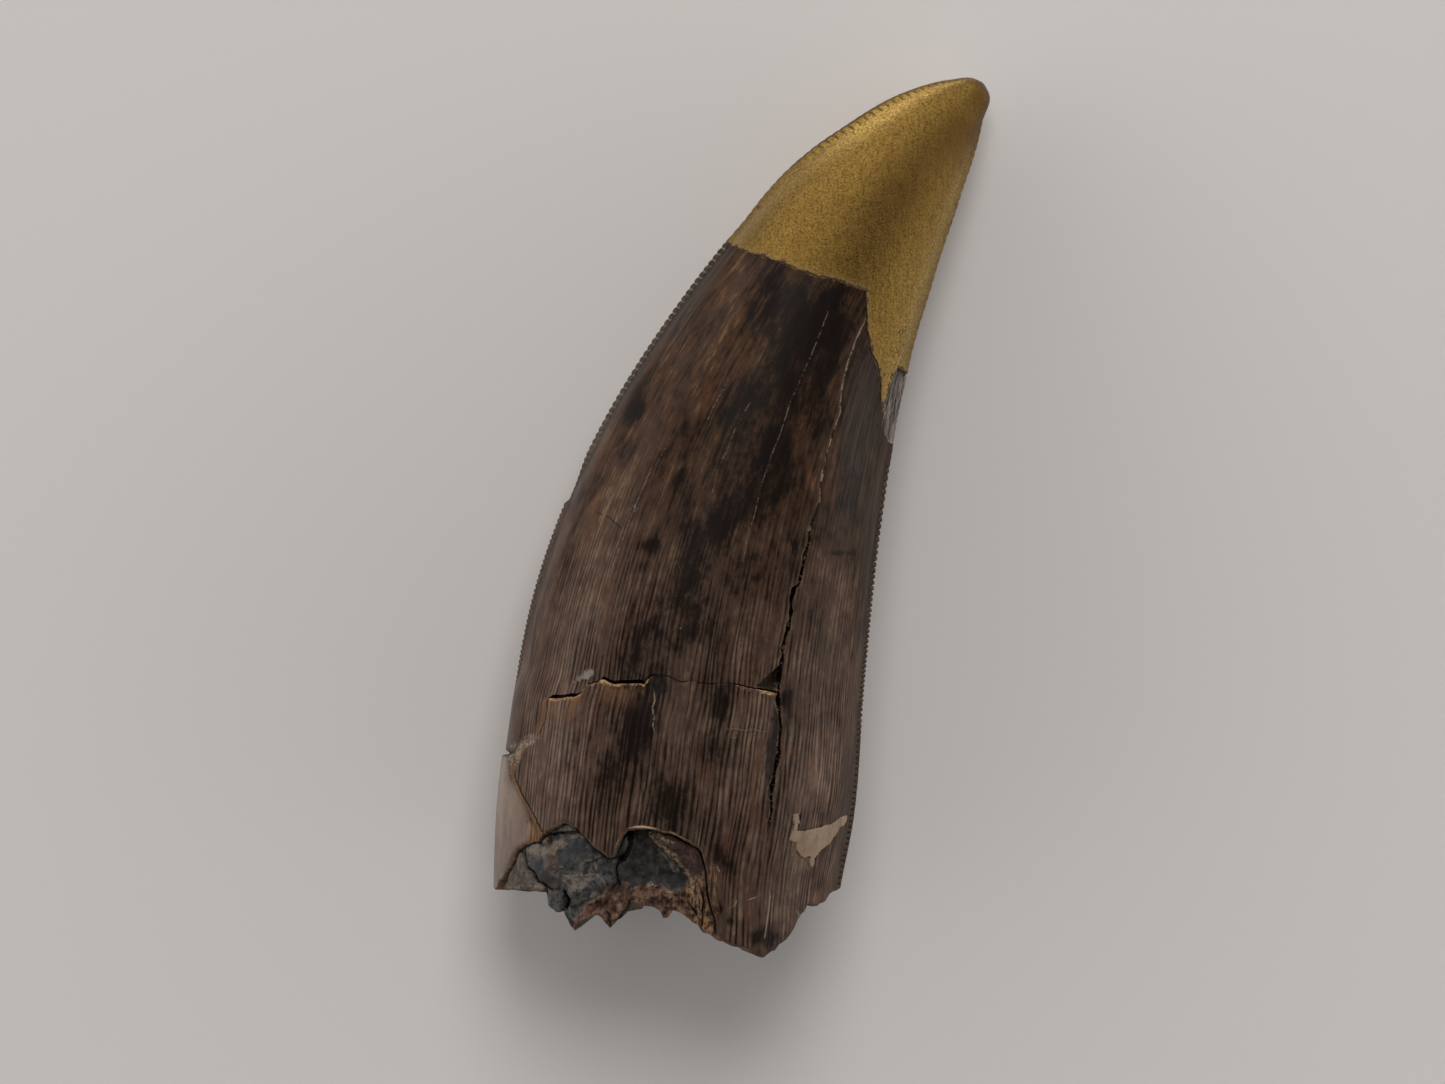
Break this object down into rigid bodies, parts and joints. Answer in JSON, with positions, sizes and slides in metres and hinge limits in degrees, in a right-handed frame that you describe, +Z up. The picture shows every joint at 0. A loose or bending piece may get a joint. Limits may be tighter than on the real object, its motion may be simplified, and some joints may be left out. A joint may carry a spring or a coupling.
{
  "type": "fossil tyrannosaurus rex tooth",
  "caption": "Curved, blade-edged fossil tooth crown with a broken stone-filled base and a gilded restored tip, lying on its inner face.",
  "frame": {"origin": "middle of the underside of the tooth's box, on the surface it lies on", "axes": "+Y from the broken base to the tip, +Z up out of the outer face, +X from the front cutting edge to the rear one"},
  "size_m": [0.0402, 0.0692, 0.0185],
  "materials": {
    "enamel": "worn semi-gloss fossil enamel",
    "gilding": "fine-grained gold finish over a modelled tip",
    "matrix": "rough mudstone",
    "filler": "matt putty"
  },
  "bodies": {
    "root": {"crown": "enamel", "gilded_tip": "gilding", "pulp_matrix": "matrix", "filler_patch": "filler"}
  },
  "joints": []
}
